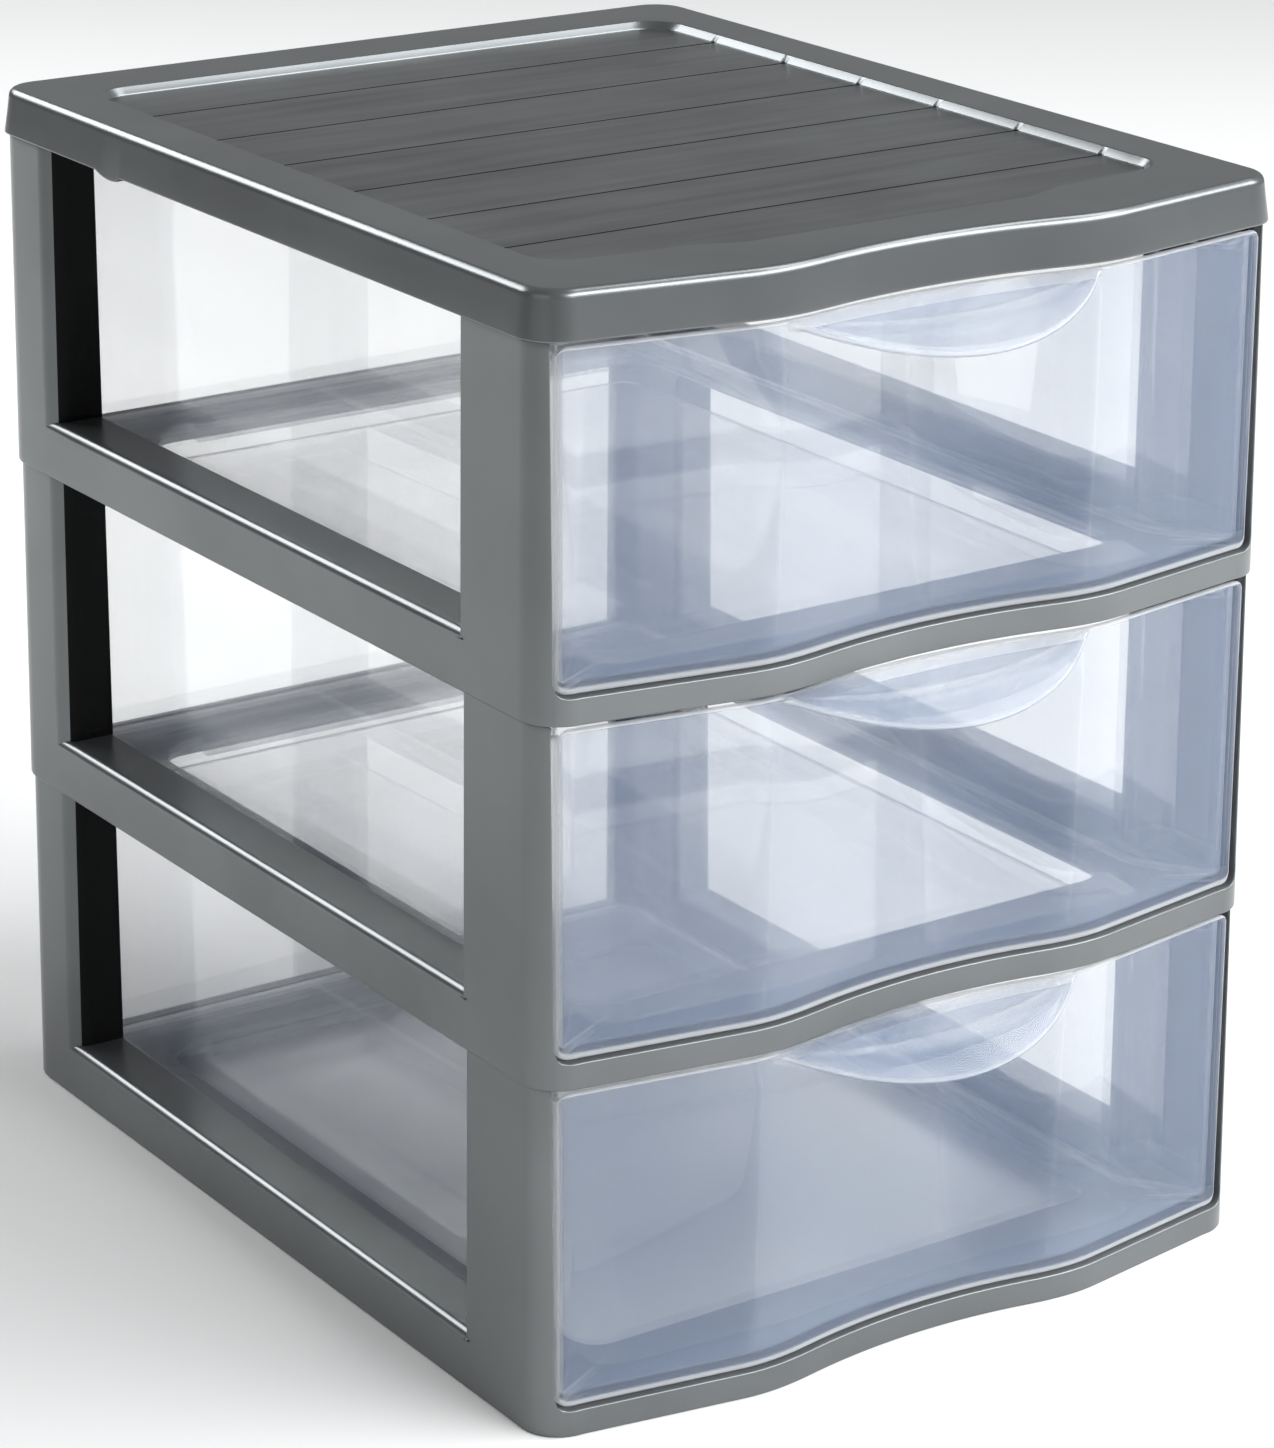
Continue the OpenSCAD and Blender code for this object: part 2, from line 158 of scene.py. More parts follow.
# ---- faces and meshes -----------------------------------------------------------------------------


def grid(rows, cols, closed=False, ring=False):
    """Quads of a grid of points, as a (rows, columns, 4) array. Columns join up when closed, rows when ring."""
    i, j = np.arange(rows if ring else rows - 1), np.arange(cols if closed else cols - 1)
    i, j = np.meshgrid(i, j, indexing="ij")
    up, right = (i + 1) % rows, (j + 1) % cols
    return np.stack([i * cols + j, i * cols + right, up * cols + right, up * cols + j], -1)


def merge(parts):
    """One (points, quads) from several; points may hold more than three numbers, such as an inner partner."""
    start = np.cumsum([0] + [len(p) for p, q in parts])
    points = np.concatenate([p for p, q in parts])
    quads = np.concatenate([q + s for (p, q), s in zip(parts, start)])
    return points, quads


def weld(points, quads):
    """Points whose first three numbers agree to half a micrometre become one."""
    key = np.round(points[:, :3] * WELD).astype(np.int64)
    _, first, same = np.unique(key, axis=0, return_index=True, return_inverse=True)
    return points[first], same.ravel()[quads]


def mirrored(part):
    """A part and its mirror image in x, whose faces are turned round so that they still point outward."""
    points, quads = part
    flip = np.ones(points.shape[1])
    flip[::3] = -1
    return merge([part, (points * flip, quads[:, ::-1])])


def thicken(points, quads):
    """Closed wall between two sheets: columns 0-2 are the outer points, 3-5 their inner partners. The inner faces
    are the outer ones turned round, and every edge that only one face has gets a rim face."""
    n = len(points)
    edges = np.stack([quads, np.roll(quads, -1, 1)], -1).reshape(-1, 2)
    edges = edges[edges[:, 0] != edges[:, 1]]
    _, same, count = np.unique(np.sort(edges, 1), axis=0, return_inverse=True, return_counts=True)
    a, b = edges[count[same.ravel()] == 1].T
    rim = np.stack([b, a, a + n, b + n], 1)
    return np.concatenate([points[:, :3], points[:, 3:]]), np.concatenate([quads, quads[:, ::-1] + n, rim])


def box(low, high):
    """A block from its lowest and highest corner."""
    x, y = np.array([low, high], float)[[0, 1, 1, 0], 0], np.array([low, high], float)[[0, 0, 1, 1], 1]
    ring = [np.stack([x, y, np.full(4, z)], -1) for z in (low[2], high[2])]
    quads = np.concatenate([grid(2, 4, closed=True).reshape(-1, 4), [[3, 2, 1, 0], [4, 5, 6, 7]]])
    return np.concatenate(ring), quads


SHARP = math.radians(38)  # edges with a larger turn than this get the bevel


def build(name, points, quads, material, body, bevel=0.0, smooth=True, hollow=None):
    """Puts millimetre points and quads into a mesh object at the origin. A quad with two corners at one point
    becomes a triangle. Edges get the bevel, and normals are weighted by face area so that flats look flat. A
    fourth number per point becomes the attribute "rim", where a clear wall gets a painted highlight for the light it
    gathers. Faces inside the posts and on the wings get the material hollow, if there is one: painted shade."""
    points, quads = weld(points, quads)
    at = np.abs(points[quads].mean(1))
    # painted shade: faces inside the posts and on the wings, which get the near-black material hollow
    dark = (at[:, 0] < HW - PAINTED_SHADE_SIDE) & (at[:, 1] < HD - PAINTED_SHADE_END) & (at[:, 2] % PITCH > LEDGE_Z + PAINTED_SHADE_UP)
    keep = quads != np.roll(quads, -1, 1)
    size = keep.sum(1)
    quads, keep, dark, size = quads[size > 2], keep[size > 2], dark[size > 2], size[size > 2]
    corners = quads[keep].astype(np.int32)
    mesh = bpy.data.meshes.new(name)
    mesh.vertices.add(len(points))
    mesh.vertices.foreach_set("co", ((points[:, :3] + [0, Y_SHIFT, 0]) / MM).astype(np.float32).ravel())
    mesh.loops.add(len(corners))
    mesh.loops.foreach_set("vertex_index", corners)
    mesh.polygons.add(len(size))
    mesh.polygons.foreach_set("loop_start", (np.cumsum(size) - size).astype(np.int32))
    mesh.polygons.foreach_set("use_smooth", np.full(len(size), smooth))
    mesh.update(calc_edges=True)
    if mesh.validate():
        raise RuntimeError(f"{name}: the mesh had faces that do not hold")
    if points.shape[1] > 3:
        # rim: where a clear wall gets its painted highlight
        rim = mesh.attributes.new("rim", "FLOAT", "POINT")
        rim.data.foreach_set("value", points[:, 3].astype(np.float32))
    mesh.materials.append(material)
    if hollow:
        mesh.materials.append(hollow)
        mesh.polygons.foreach_set("material_index", dark.astype(np.int32))
    piece = bpy.data.objects.new(name, mesh)
    bpy.context.scene.collection.objects.link(piece)
    if bevel:
        edge = piece.modifiers.new("rounded edges", "BEVEL")
        edge.width, edge.segments, edge.limit_method = bevel / MM, 2, "ANGLE"
        edge.angle_limit, edge.use_clamp_overlap = SHARP, False
    normals = piece.modifiers.new("even flats", "WEIGHTED_NORMAL")
    normals.keep_sharp = True
    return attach(piece, body)


# ---- cover ----------------------------------------------------------------------------------------


STEP_X, STEP_LEN = 50, 15  # outer end and length of the step in the tray's front edge


def well_front(x):
    """Front edge of the sunken tray: a straight taper toward the sides and a cosine step down at 35 to 50 mm."""
    x = np.abs(x)
    step = 1 - np.cos(np.pi * np.clip((STEP_X - x) / STEP_LEN, 0, 1))
    return -HD + 21.5 - 2.2 * np.minimum(1, (WELL_X - x) / (WELL_X - STEP_X)) - 4.3 * step / 2


WELL_LOW_Y, WELL_HIGH_Y = well_front(WELL_X) + WELL_R, WELL_REAR - WELL_R  # middles of the tray's corner curves
GROOVES = np.arange(HD - 44, -HD + 34 - 1, -GROOVE_GAP)


def well_half(grow, side_y, rear_x, notch):
    """Right half of the sunken tray's edge, moved outward by grow, with as many columns as half_outline: front by
    x, a corner of radius WELL_R + grow by angle, side, rear corner, rear. notch pushes the side out at each
    groove."""
    x = FRONT_X * 66 / CX
    g = grow[:, None]
    r, turn_x = WELL_R + g, WELL_X - WELL_R
    front = np.stack([x + 0 * g, well_front(x) - g], -1)
    angle = np.radians(np.linspace(-80, 0, len(MOUTH_CORNER) + CORNER_STEPS + 1))[1:]
    corner = np.stack([turn_x + r * np.cos(angle), WELL_LOW_Y + r * np.sin(angle)], -1)
    near = np.abs(side_y[:, None] - GROOVES[None]).min(1) < NOTCH_HALF + 0.05
    side = np.stack([WELL_X + g + notch * near, side_y + 0 * g], -1)
    rear_corner = np.stack([turn_x + r * np.cos(REAR_TURN), WELL_HIGH_Y + r * np.sin(REAR_TURN)], -1)
    rear = np.stack([rear_x * turn_x / CX + 0 * g, WELL_REAR + g + 0 * rear_x], -1)
    return np.concatenate([front, corner, side, rear_corner, rear], 1)


def cover_rim():
    """Cover without its tray floor: one closed cross section carried round the outline. It runs from the skirt's
    lower edge up the drafted skirt, over a rounded edge, in along the flat border to the tray's edge, down the
    tray's sloping wall, and back along the underside. Rows on the outline and on the tray's edge share columns.
    A lug hangs from the skirt over each side window: half a cosine wave raised to LUG_POWER over t, which runs
    from -1 to 1 along the lug and is the root of a square equation in y, because its crest is set forward."""
    t = np.linspace(-1, 1, 15)
    lug = LUG_Y + LUG_HALF * t - LUG_LEAN * (1 - t * t)
    well_y = np.concatenate([(g + np.array([-1.0, -NOTCH_HALF, NOTCH_HALF, 1.0])) for g in GROOVES])
    well_len = WELL_HIGH_Y - WELL_LOW_Y
    u = np.concatenate([(lug + CY) / (2 * CY), (well_y - WELL_LOW_Y) / well_len, [0.02, 0.5, 0.999]])
    u = np.unique(np.round(u, 5))
    side_y, side_w = -CY + u * 2 * CY, WELL_LOW_Y + u * well_len
    rear_x = np.array([60.0, 40, 20, 0])
    a = np.linspace(0, np.pi / 2, 6)
    skirt = [(-0.75, STACK_Z + 0.2), (-0.5, STACK_Z), (1.1, STACK_Z), (1.42, STACK_Z + 0.12), (1.48, STACK_Z + 0.45)]
    lug_rows = len(skirt)
    skirt += [(0.75, 245.0), (0.25, BORDER_UNDER)]
    skirt += [(-1.75 + BORDER_R * math.cos(t), BORDER_UNDER + BORDER_R * math.sin(t)) for t in a[1:]]
    edge = [(2.3, COVER_Z)]
    edge += [(1.8 - BRIM_R * math.sin(t), COVER_Z - BRIM_R + BRIM_R * math.cos(t)) for t in 0.5 * a]
    edge += [(0.1, COVER_Z - 1.5), (0.0, COVER_Z - 2.0), (0.0, WELL_UNDER), (1.9, WELL_UNDER), (1.9, BORDER_UNDER)]
    n = SIDE_COL + len(side_y) + len(REAR_TURN) + len(rear_x)
    o = np.array([p[0] for p in skirt])[:, None] + np.zeros((1, n))
    z = np.array([p[1] for p in skirt])[:, None] + np.zeros((1, n))
    root = np.sqrt(np.maximum(LUG_HALF**2 + 4 * LUG_LEAN * (LUG_LEAN + side_y - LUG_Y), 0))
    t = np.clip((root - LUG_HALF) / (2 * LUG_LEAN), -1, 1)
    z[:lug_rows, SIDE_COL : SIDE_COL + len(side_y)] -= LUG_DROP * np.maximum(np.cos(np.pi / 2 * t), 0) ** LUG_POWER
    outer = np.concatenate([half_outline(o, side_y, rear_x), z[..., None]], -1)
    grow = np.array([p[0] for p in edge])
    level = np.array([p[1] for p in edge])[:, None, None] + np.zeros((1, n, 1))
    notch = NOTCH_DEEP * ((grow < 0.5) & (level[:, 0, 0] > COVER_Z - 3))[:, None]
    well = [np.concatenate([well_half(grow, side_w, rear_x, k), level], -1) for k in (notch, 0)]
    back = half_outline(np.full((1, n), -PLATE), side_y, rear_x)
    back = np.concatenate([back, np.full((1, n, 1), BORDER_UNDER)], -1)
    rows = np.concatenate([around(outer), around(*well), around(back)])
    return rows.reshape(-1, 3), grid(*rows.shape[:2], closed=True, ring=True).reshape(-1, 4)


def cover_floor(depth):
    """Tray floor: a plate whose edge lies hidden in the border, crossed by grooves 0.7 mm wide with upright sides.
    A row of points runs across at each step of y; toward the front the rows bend into the tray's front edge."""
    side = 0.01  # how far a groove's upright side leans
    lips = np.array([-GROOVE_HALF - side, -GROOVE_HALF, GROOVE_HALF, GROOVE_HALF + side])
    y = np.sort(np.concatenate([g + lips for g in GROOVES] + [[94.0, 98.9]]))
    groove = np.abs(y[:, None] - GROOVES[None]).min(1) < GROOVE_HALF + side / 2
    low = np.concatenate([[-100.0, -92.0], y])
    z = np.where(np.concatenate([[False, False], groove]), -depth, 0) + COVER_Z - WELL_DEEP
    reach = WELL_X + 0.9 - np.where(low > 90, 8.9 - np.sqrt(np.maximum(8.9**2 - (low - 90) ** 2, 0)), 0)
    u = np.linspace(-1, 1, 41)
    x = u[None] * reach[:, None]
    yy = low[:, None] + 0 * x
    bend = np.clip((-76 - low) / 20, 0, 1)[:, None]
    yy[:2] = (1 - bend[:2]) * low[:2, None] + bend[:2] * (well_front(x[:2]) - 0.9 + (low[:2, None] + 100))
    top = np.stack([x, yy, z[:, None] + 0 * x], -1)
    under = np.stack([x, yy, np.full_like(x, COVER_Z - WELL_DEEP - PLATE)], -1)
    points = np.concatenate([top, under], -1).reshape(-1, 6)
    return thicken(points, grid(*x.shape).reshape(-1, 4))


# ---- frames ---------------------------------------------------------------------------------------


def draft(z):
    """Outward offset of a frame's skin at height z: it tapers from foot to post top."""
    return FOOT_FLARE + (POST_FLARE - FOOT_FLARE) * z / PITCH


def partnered(outer, inner):
    """Joins outer and inner points of one grid into rows of six numbers."""
    return np.concatenate([outer, inner], -1).reshape(-1, 6)


def sheet(x, y, z):
    """Points of a grid from its x, y and z, which spread out over one another."""
    return np.stack(np.broadcast_arrays(x, y, z), -1)


def frame_shell():
    """Skin of a frame: the outline with draft, cut away at mouth, rear opening and side windows, joined to the
    rounded ledges beside the drawer and to the posts' wings, then given its wall. The lowest row above the foot
    follows the mouth's rounded lower corners."""
    side_y = np.array([-103.0, -95, WIN_FRONT, -60, -30, 0, 30, 60, 85, WIN_REAR + WIN_ROUND, 104, CY])
    rear_x = np.array([82.0, 78, 50, 25, 0])
    window, window_end = SIDE_COL + 2, SIDE_COL + 9
    n = SIDE_COL + len(side_y) + len(REAR_TURN) + len(rear_x)
    z = np.array([0, 3.0, 8.6, RAIL_Z, 24, 50, 76.5, 78.2, PITCH])[:, None] + np.zeros((1, n))
    mouth_row, rail_row = 2, 3
    z[mouth_row, : len(FRONT_X)] = z[mouth_row, -4:] = SHELF_Z
    z[mouth_row, len(FRONT_X) : MOUTH_COLS] = SHELF_Z + PLATE_ROUND - np.array([2.6, 2.6, 2.6, 2.2517, 1.3, 0])
    skin = np.concatenate([half_outline(draft(z), side_y, rear_x), z[..., None]], -1)
    core = np.concatenate([half_outline(np.full_like(z, CORE), side_y, rear_x), z[..., None]], -1)
    core[rail_row, window : window_end + 1, 2] = 11.1
    core[rail_row:, window, 1] = WIN_FRONT - WING
    cells = np.ones((len(z) - 1, n - 1), bool)
    cells[mouth_row:, : MOUTH_COLS - 1] = False
    cells[rail_row:, window:window_end] = False
    cells[mouth_row:, -3:] = False
    cells = np.concatenate([cells, cells[:, ::-1]], 1)
    shell = (partnered(around(skin), around(core)), grid(len(z), cells.shape[1], closed=True)[cells])

    # rail: rounded outer edge, flat ledge, guide wall down to the shelf
    a = np.linspace(0, np.pi / 2, 6)
    x0 = HW + draft(RAIL_Z)
    outer = [(x0 - RAIL_R + RAIL_R * math.cos(t), RAIL_Z + RAIL_R * math.sin(t)) for t in a]
    inner = [(HW + CORE - 0.4 + 0.4 * math.cos(t), 11.1 + 0.4 * math.sin(t)) for t in a]
    outer += [(88.0, LEDGE_Z)]
    inner += [(88.0, RAIL_Z)]
    outer += [(GUIDE_X + 0.6 - 0.6 * math.sin(t), LEDGE_Z - 0.6 + 0.6 * math.cos(t)) for t in a[::2]]
    inner += [(GUIDE_X + 2.2 - 0.2 * math.sin(t), 11.3 + 0.2 * math.cos(t)) for t in a[::2]]
    outer += [(GUIDE_X, 5.0)]
    inner += [(GUIDE_X + 2, 5.0)]
    y = np.concatenate([[WIN_FRONT - 1], side_y[2:10], [WIN_REAR + 7.5]])
    pair = [sheet(p[:, :1], y, p[:, 1:]) for p in (np.array(outer), np.array(inner))]
    rail = (partnered(*pair), grid(len(outer), len(y)).reshape(-1, 4))

    # front wing: from the post's edge in to the drawer's guide line
    zr = z[rail_row:-1, 0][:, None]
    x = np.concatenate([HW + draft(zr), 91.0 + 0 * zr, 87.0 + 0 * zr, GUIDE_X + 0 * zr], 1)
    xi = x.copy()
    xi[:, 0] = HW + CORE
    front_wing = (partnered(sheet(x, WIN_FRONT, zr), sheet(xi, WIN_FRONT - WING, zr)), grid(*x.shape).reshape(-1, 4))

    # rear wing: its top lies lower than the post, with a rounded free corner; the window edge is a quarter round
    zr = z[rail_row:, 0][:, None]
    flat = np.array([GUIDE_X, 83.8, 84.6, 85.4, 87.45, 87.6, 89.6])
    free = 74.7 + np.sqrt(3.4**2 - np.minimum(85.4 - flat, 3.4) ** 2)
    top = np.where(flat < 85.4, free, np.where(flat < 87.5, 78.1, PITCH))
    turn = np.linspace(np.pi / 2, 0, 8)
    bent = WIN_ROUND - WING
    edge = HW + draft(zr) - WIN_ROUND
    x = np.concatenate([flat + 0 * zr, edge + WIN_ROUND * np.cos(turn)], 1)
    y = np.concatenate([WIN_REAR + 0 * flat, WIN_REAR + WIN_ROUND - WIN_ROUND * np.sin(turn)])
    xi = np.concatenate([flat + 0 * zr, edge + bent * np.cos(turn)], 1)
    xi[:, -1] = HW + CORE
    yi = np.concatenate([WIN_REAR + WING + 0 * flat, WIN_REAR + WIN_ROUND - bent * np.sin(turn)])
    down = PITCH - np.concatenate([top, np.full(len(turn), PITCH)])
    bend_z, wing_z = 50, 76.5  # rows between which the wing's upper part comes down to its own top
    zz = zr - down * np.clip((zr - bend_z) / (wing_z - bend_z), 0, 1)
    rear_wing = (partnered(sheet(x, y, zz), sheet(xi, yi, zz)), grid(*x.shape).reshape(-1, 4))

    sides = mirrored(merge([rail, front_wing, rear_wing]))
    return thicken(*weld(*merge([shell, sides])))


def frame_inside():
    """What stands inside a frame's skin: the shelf, a closed ring between the outline and a round-cornered opening
    that share columns, the end walls and ribs of the hollow ledges, and the tongues on the posts."""
    side_y = np.array([-103.0, -89.8, -89.6, -60, -30, 0, 30, 60, 95.1, 95.3, CY])
    rear_x = np.array([60.0, 40, 20, 0])
    n = SIDE_COL + len(side_y) + len(REAR_TURN) + len(rear_x)
    out = half_outline(np.full((1, n), CORE + 0.6), side_y, rear_x)[0]
    out[SIDE_COL + 2 : SIDE_COL + 9, 0] = GUIDE_X + 1.5
    steps = len(MOUTH_CORNER) + CORNER_STEPS
    t = np.arange(1, steps + 1) * np.pi / 2 / steps
    turn_x, low_y, high_y = OPEN_X - OPEN_R, OPEN_FRONT + OPEN_R, OPEN_REAR - OPEN_R
    along = (side_y - side_y[0]) * (high_y - low_y) / (side_y[-1] - side_y[0])
    hole = np.concatenate([
        np.stack([FRONT_X * turn_x / CX, OPEN_FRONT + 0 * FRONT_X], -1),
        np.stack([turn_x + OPEN_R * np.sin(t), low_y - OPEN_R * np.cos(t)], -1),
        np.stack([OPEN_X + 0 * side_y, low_y + along], -1),
        np.stack([turn_x + OPEN_R * np.cos(REAR_TURN), high_y + OPEN_R * np.sin(REAR_TURN)], -1),
        np.stack([rear_x * turn_x / CX, OPEN_REAR + 0 * rear_x], -1)])
    inward = (out - hole) / np.linalg.norm(out - hole, axis=1)[:, None]
    rows = [(out, 4.0), (out, 5.92), (hole + 0.35 * inward, 5.92), (hole, 5.6), (hole, 4.3),
            (hole + 0.3 * inward, 4.0)]
    rows = around(np.stack([np.concatenate([p, np.full((n, 1), z)], 1) for p, z in rows]))
    shelf = (rows.reshape(-1, 3), grid(*rows.shape[:2], closed=True, ring=True).reshape(-1, 4))
    inner_x = HW + draft(LEDGE_Z) - 1.4
    parts = [box((GUIDE_X + 0.4, y, 4.05), (inner_x, y + 1.9, 12.8)) for y in (WIN_FRONT - 2.1, WIN_REAR + 0.2)]
    parts += [box((GUIDE_X + 5.6, WIN_FRONT - 1.6, 1.5), (GUIDE_X + 7, WIN_REAR + 0.6, 11.8))]
    ribs = WIN_FRONT + (WIN_REAR - WIN_FRONT) * np.arange(1, 6) / 6
    parts += [box((GUIDE_X + 1.8, y - 0.7, 2), (inner_x, y + 0.7, 11.7)) for y in ribs]
    x1 = HW + CORE - 0.2
    for y0, y1 in ((-107.9, -91.5), (100.0, 107.9)):
        parts += [box((x1 - 2.2, y0, 72), (x1 + 0.8, y1, 79.5))]
        parts += [box((x1 - 2.15, y0 + 0.1, 72.1), (x1, y1 - 0.1, 83.4))]
    return merge([shelf, mirrored(merge(parts))])


# ---- drawers --------------------------------------------------------------------------------------


def drawer_low(x):
    """Lower edge of the drawer as seen from the front: level, with a quarter round at each end."""
    past = np.clip(np.abs(x) - PLATE_X + PLATE_ROUND, 0, PLATE_ROUND)
    return TRAY_Z + PLATE_ROUND - np.sqrt(PLATE_ROUND**2 - past**2)


SHOULDER_Y, SHOULDER_LEN = -93.0, 23.0
TRAY_SIDE = np.array([-70.0, -40, -10, 20, 50, 80, 105])
SHOULDER_S = np.linspace(1, 0, 15)
PLATE_TURN = np.arange(1, 8) / 7  # steps round the front plate's corner
TRAY_REAR_X = np.array([60.0, 45, 30, 15, 0])
TRAY_R, TRAY_REAR = 6, HD - 7  # radius of the tray's rear corners, and its rear face
FACE_IN, FLOOR_THICK = 0.3, 1.6  # from a frame's outline back to the plate's face, thickness of the floor


def smooth(share):
    """Three times the square minus twice the cube: rises from 0 to 1 without a kink at either end."""
    return share * share * (3 - 2 * share)


def tray_half(t):
    """Right half of the drawer's plan moved inward by t, one row per value: bowed front, corner circle about the
    frame's own corner, S-shaped shoulder whose x follows half a cosine wave, straight side, round rear corner,
    rear wall. The shoulder moves inward along its normal."""
    t = np.atleast_1d(np.asarray(t, float))[:, None]
    front = np.stack([FRONT_X + 0 * t, -HD + FACE_IN - bow(FRONT_X) + t], -1)
    r = CORNER - FACE_IN - t
    angle = np.pi / 2 + (np.arccos((PLATE_X - 0.35 - t - CX) / r) - np.pi / 2) * PLATE_TURN
    corner = np.stack([CX + r * np.cos(angle), -CY - r * np.sin(angle)], -1)
    s = SHOULDER_S * (1 - (t + 0.5) / SHOULDER_LEN)
    wide = PLATE_X - TRAY_X
    rise, dx = wide * (1 - np.cos(np.pi * s)) / 2, wide * np.pi / 2 * np.sin(np.pi * s)
    run = np.hypot(dx, SHOULDER_LEN)
    shoulder = np.stack([TRAY_X + rise - t * SHOULDER_LEN / run, SHOULDER_Y - SHOULDER_LEN * s - t * dx / run], -1)
    side = np.stack([TRAY_X - t + 0 * TRAY_SIDE, TRAY_SIDE + 0 * t], -1)
    r = TRAY_R - t
    rear_corner = np.stack([TRAY_X - TRAY_R + r * np.cos(REAR_TURN), TRAY_REAR - TRAY_R + r * np.sin(REAR_TURN)], -1)
    rear = np.stack([TRAY_REAR_X + 0 * t, TRAY_REAR - t + 0 * TRAY_REAR_X], -1)
    return np.concatenate([front, corner, shoulder, side, rear_corner, rear], 1)


def panel_half(wide, front, rear, r):
    """Right half of a round-cornered rectangle with the same columns as tray_half."""
    a = np.radians(np.linspace(-90, 0, len(PLATE_TURN) + len(SHOULDER_S) + 1))[1:]
    turn_x = wide - r
    along = (TRAY_SIDE - SHOULDER_Y) * (rear - front - 2 * r) / (TRAY_SIDE[-1] - SHOULDER_Y)
    return np.concatenate([
        np.stack([FRONT_X * turn_x / CX, front + 0 * FRONT_X], -1),
        np.stack([turn_x + r * np.cos(a), front + r + r * np.sin(a)], -1),
        np.stack([wide + 0 * TRAY_SIDE, front + r + along], -1),
        np.stack([turn_x + r * np.cos(REAR_TURN), rear - r + r * np.sin(REAR_TURN)], -1),
        np.stack([TRAY_REAR_X * turn_x / (TRAY_X - TRAY_R), rear + 0 * TRAY_REAR_X], -1)])[None]


# plain rim of a wall: inset and height below the top, from the outer face over the top to the inner face
RIM = np.array([(0, -2.6), (0, -2.35), (0, -2.1), (0, -1.85), (0, -1.6), (0, -1.36), (0, -1.14), (0, -0.94),
                (0, -0.78), (0.02, -0.63), (0.06, -0.49), (0.13, -0.35), (0.27, -0.18), (0.6, 0), (1.3, 0),
                (TRAY_WALL, -0.5)])
RIM_DEEP = 2.6  # height of the rim's lowest row below the top
# the handle's lines that get a painted highlight for the light they gather, one share for each row of RIM, and where
# the handle ends and fades into it
HANDLE_PAINTED_GLOW = np.array([0, 0, 0, 0, 0, 0, 1, 0.3, 0, 0.35, 0, 0, 0, 0.6, 0.6, 0])[:, None]
HANDLE_END, HANDLE_FADE = 41.5, 2.5


def handle_section(x):
    """Cross section of the crescent handle at x, as y and z for each row of RIM: root of the underside, apron,
    outer edge, back over the apron, the bead, the trough behind it, and the rim band. w falls from 1 in the middle
    to 0 on the crests as one minus the square of x over CREST_X; the outer edge in plan is a circular arc."""
    w = np.maximum(0.03, 1 - (x / CREST_X) ** 2)
    face = -HD + FACE_IN - bow(x)
    crest = np.where(np.abs(x) < CREST_X, -HD + FACE_IN - bow(CREST_X), face)
    r = (CREST_X**2 + LIP_OUT**2) / (2 * LIP_OUT)
    out = np.maximum(0.03 * LIP_OUT, np.sqrt(np.maximum(r * r - x * x, 0)) - r + LIP_OUT)
    b, e, top = crest - 0.34 * LIP_OUT * w, crest - out, FRONT_TOP
    d, m = face - b, b - 0.4 * (b - e)
    zb, ze = top - 0.35 * LIP_DROP * w, top - LIP_DROP * w
    zm = zb - 0.35 * (zb - ze)
    y = [face, face - 0.2 * d, face - 0.6 * d, b + 0.1 * d, m + 0.4 * w, e + 0.6 * w, e, e + 0.7 * w, m, b,
         b + 0.12 * d, face - 0.6 * d, face - 0.25 * d, face + 0.5, face + 1.3, face + TRAY_WALL]
    z = [top - 3.2, top - 2.3, zb - 0.5 * w - 2.1, zb - 2.1, zm - 1.8, ze - 1.5, ze - 0.7, ze, zm, zb,
         zb - 0.3 * w, zb - 0.5 * w, top - 0.1 * w, top, top, top - 0.5]
    return np.stack([yy + 0 * x for yy in y]), np.stack([zz + 0 * x for zz in z])


